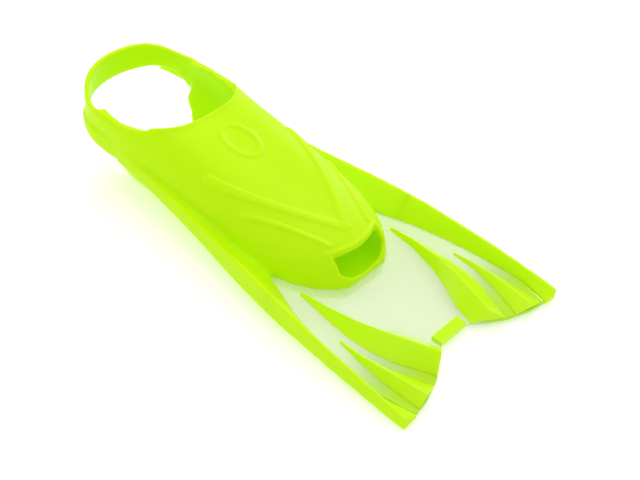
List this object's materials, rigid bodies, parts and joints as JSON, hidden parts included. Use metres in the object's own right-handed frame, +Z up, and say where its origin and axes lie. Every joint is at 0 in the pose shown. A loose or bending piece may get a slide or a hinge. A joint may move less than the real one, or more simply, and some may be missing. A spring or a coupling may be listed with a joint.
{
  "type": "swim fin",
  "caption": "Full-foot training swim fin with an open-toed foot pocket, a heel strap and a short ridged flexing blade between side rails.",
  "frame": {"origin": "on the floor plane under the middle of the bounding box", "axes": "+X from the heel strap to the blade tips, +Y to the wearer's left, +Z up out of the sole"},
  "size_m": [0.388, 0.18, 0.0734],
  "materials": {
    "lime_rubber": "smooth semi-gloss moulded elastomer",
    "sole_rubber": "matt moulded elastomer",
    "lime_blade": "smooth gloss moulded plastic",
    "clear_blade": "clear gloss plastic"
  },
  "bodies": {
    "foot_pocket": {"sole_plate": "sole_rubber", "toe_cap": "lime_rubber", "vamp": "lime_rubber", "ankle_rim": "lime_rubber", "toe_rim": "lime_rubber", "toe_web": "clear_blade", "vamp_emblem": "lime_rubber", "front_wall_left": "lime_rubber", "front_wall_right": "lime_rubber", "heel_wall_left": "lime_rubber", "heel_wall_right": "lime_rubber", "rear_rail_left": "lime_rubber", "rear_rail_right": "lime_rubber", "inner_ridge_nose_left": "lime_blade", "inner_ridge_nose_right": "lime_blade", "rear_chevron_left": "lime_rubber", "rear_chevron_right": "lime_rubber", "front_chevron_left": "lime_rubber", "front_chevron_right": "lime_rubber"},
    "blade": {"blade_web": "clear_blade", "tip_strip": "lime_blade", "blade_rail_left": "lime_rubber", "blade_rail_right": "lime_rubber", "inner_ridge_left": "lime_blade", "inner_ridge_right": "lime_blade", "outer_ridge_left": "lime_blade", "outer_ridge_right": "lime_blade"},
    "heel_strap": {"heel_strap": "lime_rubber", "strap_flange_left": "lime_rubber", "strap_flange_right": "lime_rubber"}
  },
  "joints": [
    {"name": "blade_flex", "type": "hinge", "parent": "foot_pocket", "child": "blade", "pos_m": [0.098, 0, 0.0146], "axis": [0, 1, 0], "range_deg": [-20, 20], "stiffness_Nm_per_rad": 3},
    {"name": "strap_fold", "type": "hinge", "parent": "foot_pocket", "child": "heel_strap", "pos_m": [-0.146, 0, 0.0465], "axis": [0, 1, 0], "range_deg": [-20, 20], "stiffness_Nm_per_rad": 0.6}
  ]
}
